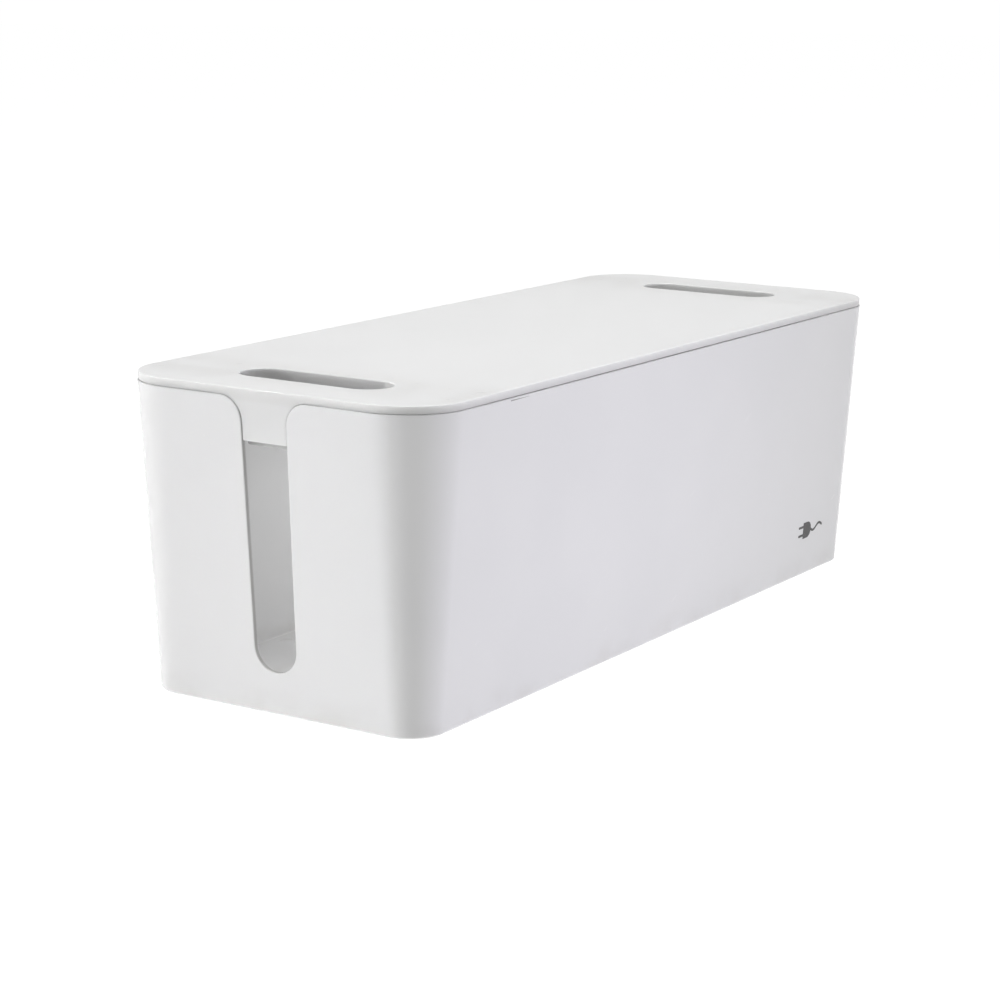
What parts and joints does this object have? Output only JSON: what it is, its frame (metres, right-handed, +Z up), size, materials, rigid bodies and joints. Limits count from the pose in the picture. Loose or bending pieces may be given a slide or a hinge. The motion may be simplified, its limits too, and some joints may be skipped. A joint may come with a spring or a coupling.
{
  "type": "cable management box",
  "caption": "Long open-topped plastic box that hides a power strip and its cables, with round-ended cable slots in the ends and a lift-off lid with hand slots.",
  "frame": {"origin": "on the ground, under the middle of the box", "axes": "+X along the length, towards one cable slot; +Y across the width; +Z up"},
  "size_m": [0.4, 0.152, 0.1335],
  "materials": {
    "shell": "satin gloss white",
    "lid": "fine matt white",
    "foot": "matt"
  },
  "bodies": {
    "tub": {"tub": "shell", "foot_front_left": "foot", "foot_front_right": "foot", "foot_back_left": "foot", "foot_back_right": "foot"},
    "lid": {"lid": "lid"}
  },
  "joints": [
    {"name": "lid_lift", "type": "slide", "parent": "tub", "child": "lid", "axis": [0, 0, 1], "range_m": [0, 0.2]}
  ]
}
